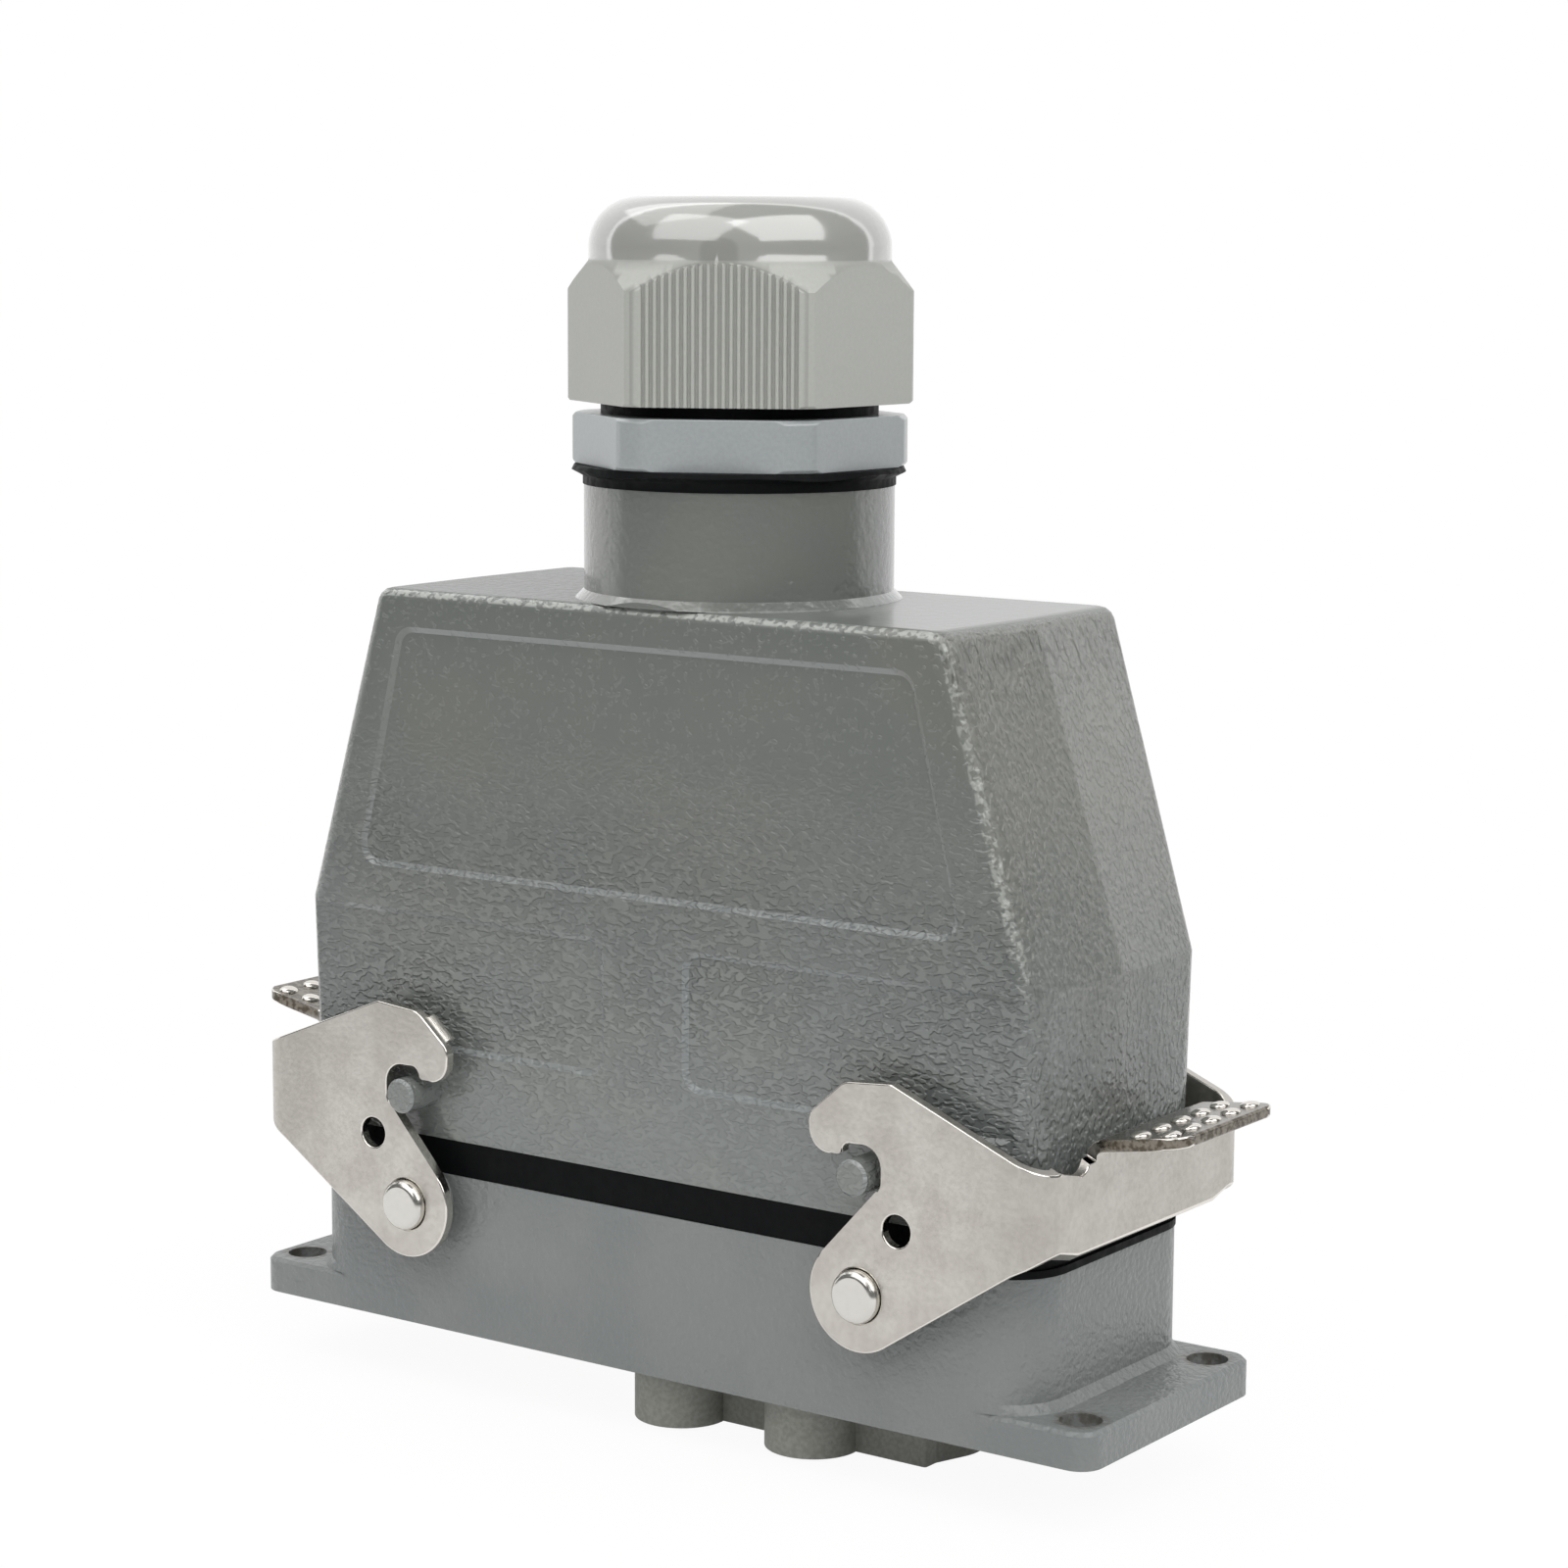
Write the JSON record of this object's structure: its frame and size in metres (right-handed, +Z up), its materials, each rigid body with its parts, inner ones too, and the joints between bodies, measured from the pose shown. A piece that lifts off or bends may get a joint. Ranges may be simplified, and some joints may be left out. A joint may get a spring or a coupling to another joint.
{
  "type": "heavy duty rectangular connector",
  "caption": "Rectangular power connector: flanged housing and top-entry hood held together by two folded steel levers, with a domed cable gland on the hood's neck.",
  "frame": {"origin": "centre of the four panel holes, on the underside of the flange", "axes": "+X along the flange, +Y from the front face to the back, +Z up along the gland"},
  "size_m": [0.1532, 0.0542, 0.1642],
  "materials": {
    "hood_paint": "hammertone paint, semi-gloss",
    "housing_paint": "fine textured paint, semi-gloss",
    "black_rubber": "satin",
    "gland_plastic": "gloss",
    "claw_plastic": "matte",
    "lever_steel": "satin",
    "pin_steel": "polished",
    "insert_plastic": "matte",
    "contact_plate": "silver plated",
    "screw_steel": "zinc plated",
    "strap_brass": "bright"
  },
  "bodies": {
    "connector": {"bulkhead_housing": "housing_paint", "housing_gasket": "black_rubber", "hood": "hood_paint", "gland_washer": "black_rubber", "gland_body": "gland_plastic", "nut_seal_ring": "black_rubber", "gland_claw": "claw_plastic", "gland_seal": "black_rubber", "female_insert": "insert_plastic", "female_wire_barrels": "insert_plastic", "female_power_contacts": "contact_plate", "female_signal_contacts": "contact_plate", "female_terminal_screws": "screw_steel", "female_insert_screws": "screw_steel", "female_earth_straps": "strap_brass", "female_earth_screws": "screw_steel", "male_insert": "insert_plastic", "male_power_contacts": "contact_plate", "male_signal_contacts": "contact_plate", "male_terminal_screws": "screw_steel", "male_insert_screws": "screw_steel", "male_earth_straps": "strap_brass", "male_earth_screws": "screw_steel", "pivot_pin_front_left": "pin_steel", "pivot_pin_back_left": "pin_steel", "pivot_pin_front_right": "pin_steel", "pivot_pin_back_right": "pin_steel"},
    "left_lever": {"left_lever": "lever_steel"},
    "right_lever": {"right_lever": "lever_steel"},
    "gland_nut": {"gland_nut": "gland_plastic"}
  },
  "joints": [
    {"name": "left_lever_hinge", "type": "hinge", "parent": "connector", "child": "left_lever", "pos_m": [-0.0377, 0, 0.01835], "axis": [0, -1, 0], "range_deg": [0, 44]},
    {"name": "right_lever_hinge", "type": "hinge", "parent": "connector", "child": "right_lever", "pos_m": [0.0377, 0, 0.01835], "axis": [0, 1, 0], "range_deg": [0, 44]},
    {"name": "gland_nut_turn", "type": "hinge", "parent": "connector", "child": "gland_nut", "pos_m": [0, 0, 0.1421], "axis": [0, 0, 1], "continuous": true}
  ]
}
